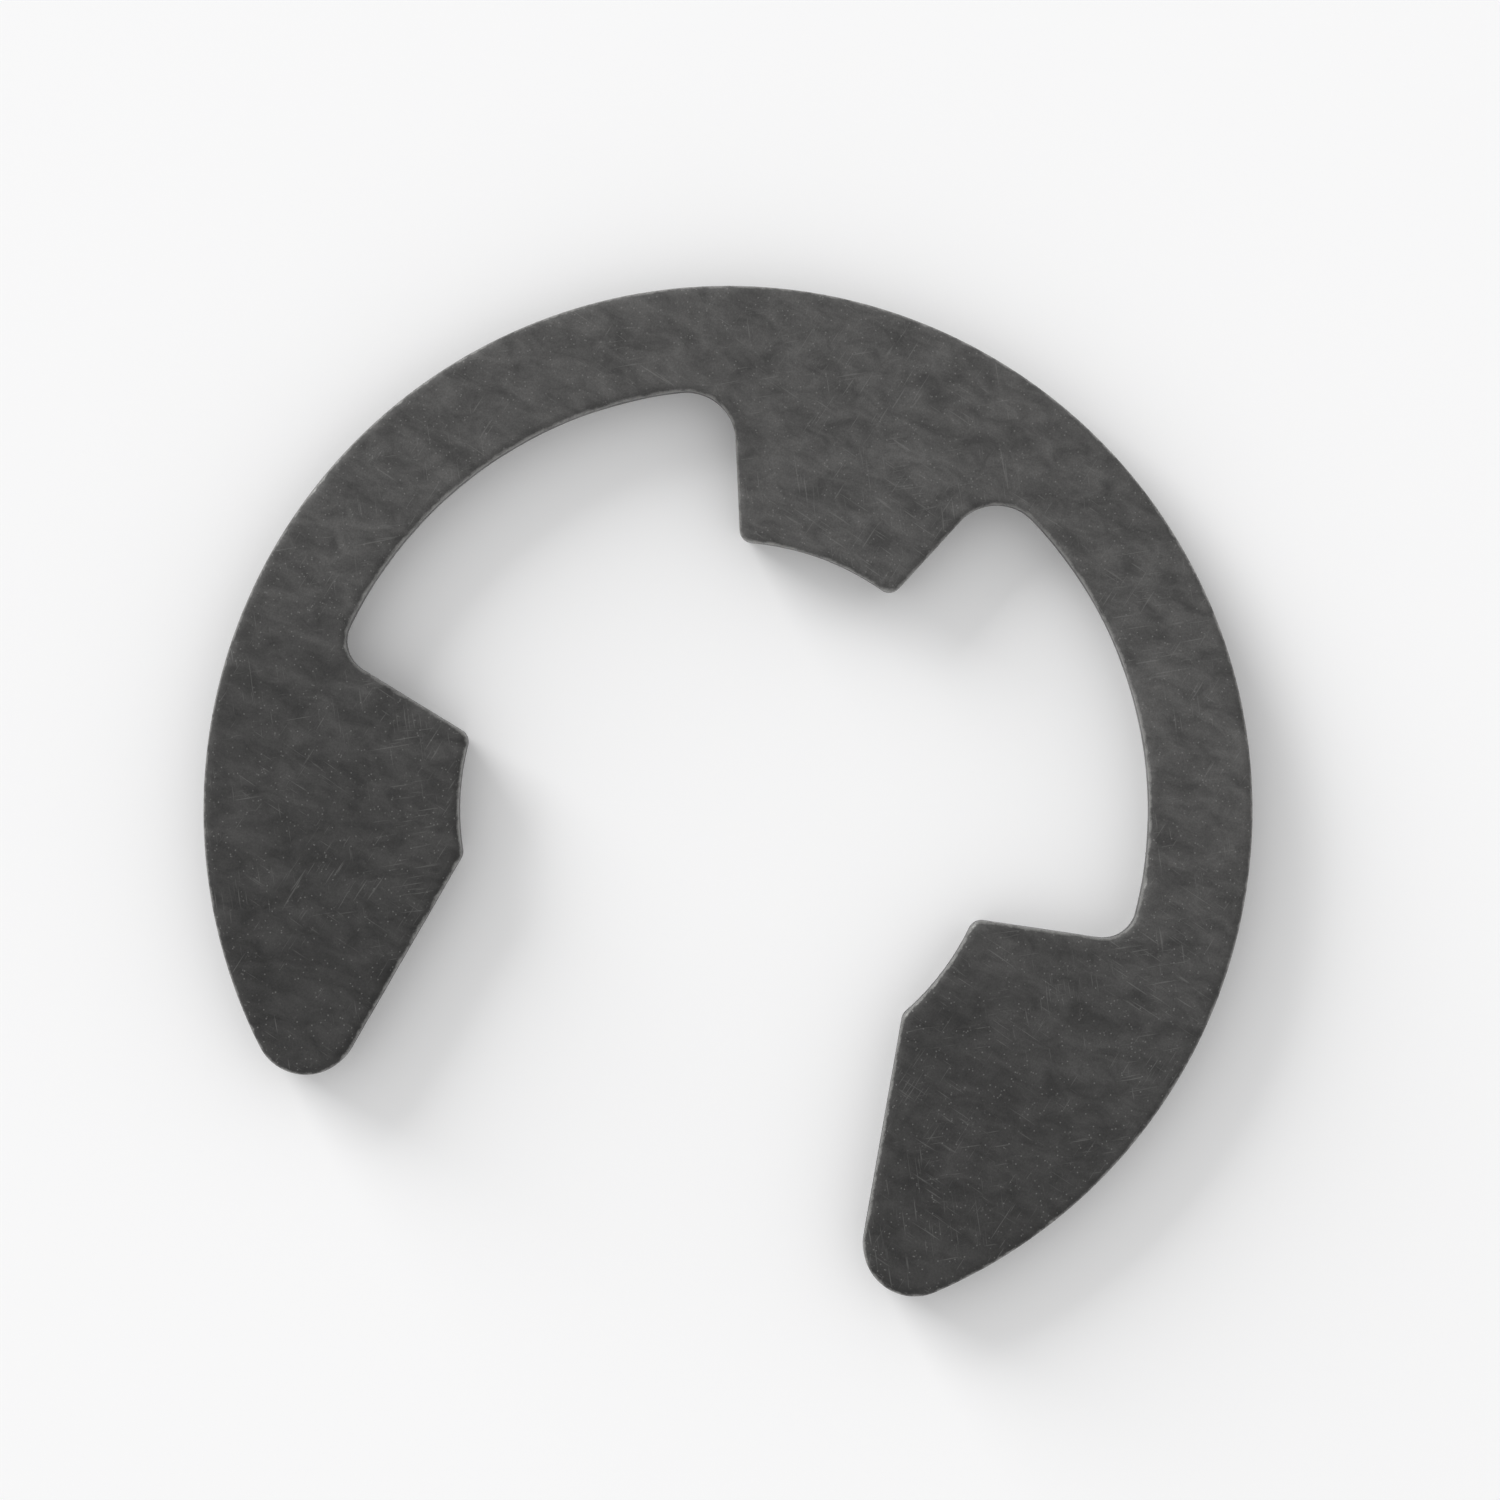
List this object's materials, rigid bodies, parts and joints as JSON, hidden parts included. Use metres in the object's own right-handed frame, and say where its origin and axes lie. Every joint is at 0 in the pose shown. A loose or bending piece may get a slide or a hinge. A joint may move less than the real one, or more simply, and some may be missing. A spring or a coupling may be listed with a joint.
{
  "type": "e clip",
  "caption": "Flat spring-steel E-shaped retaining clip with an open mouth, pushed sideways into a shaft's groove to hold what runs on the shaft.",
  "frame": {"origin": "on the axis of the shaft that the clip seats on, at the clip's underside", "axes": "+Z along the shaft's axis, from the underside to the side with the die roll; +X out of the mouth; +Y across the mouth, from prong to prong"},
  "size_m": [0.0205, 0.0234, 0.0013],
  "materials": {
    "phosphated_spring_steel": "matte"
  },
  "bodies": {
    "root": {"e_clip": "phosphated_spring_steel"}
  },
  "joints": []
}
